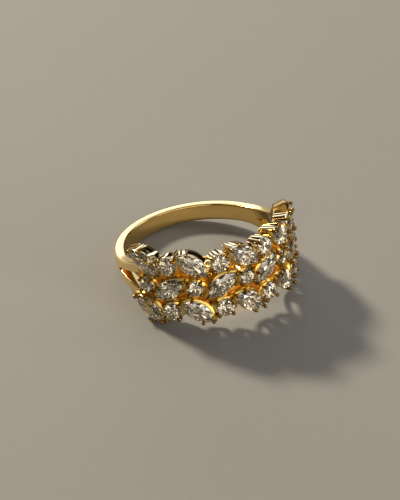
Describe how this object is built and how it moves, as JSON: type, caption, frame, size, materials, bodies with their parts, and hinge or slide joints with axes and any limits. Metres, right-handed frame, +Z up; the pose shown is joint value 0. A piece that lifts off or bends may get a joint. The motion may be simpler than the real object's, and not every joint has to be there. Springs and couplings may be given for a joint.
{
  "type": "marquise ring",
  "caption": "Wide yellow gold cluster ring lying on its side: split-shoulder band whose head carries rows of tilted marquise and round colourless stones in open claw baskets.",
  "frame": {"origin": "centre of the finger hole, on its axis, half way between the edges of the shank", "axes": "+Z up as the ring rests on its side; the head with the stones faces -Y; +X to the right of the head seen from outside; the finger axis leans 14 degrees from +Z towards +Y, because the tall head tips the ring back until the shank touches the surface"},
  "size_m": [0.0212, 0.021, 0.01],
  "materials": {
    "yellow_gold": "polished 18 carat yellow gold, satin inside the band",
    "diamond": "colourless brilliant-cut stone with polished facets"
  },
  "bodies": {
    "root": {"gold_mount": "yellow_gold", "marquise_top_1": "diamond", "round_top_2": "diamond", "marquise_top_3": "diamond", "round_top_4": "diamond", "marquise_top_5": "diamond", "round_top_6": "diamond", "marquise_top_7": "diamond", "round_top_8": "diamond", "marquise_top_9": "diamond", "round_middle_1": "diamond", "marquise_middle_2": "diamond", "round_middle_3": "diamond", "marquise_middle_4": "diamond", "round_middle_5": "diamond", "marquise_middle_6": "diamond", "round_middle_7": "diamond", "marquise_middle_8": "diamond", "round_middle_9": "diamond", "marquise_bottom_1": "diamond", "round_bottom_2": "diamond", "marquise_bottom_3": "diamond", "round_bottom_4": "diamond", "marquise_bottom_5": "diamond", "round_bottom_6": "diamond", "marquise_bottom_7": "diamond", "round_bottom_8": "diamond", "marquise_bottom_9": "diamond"}
  },
  "joints": []
}
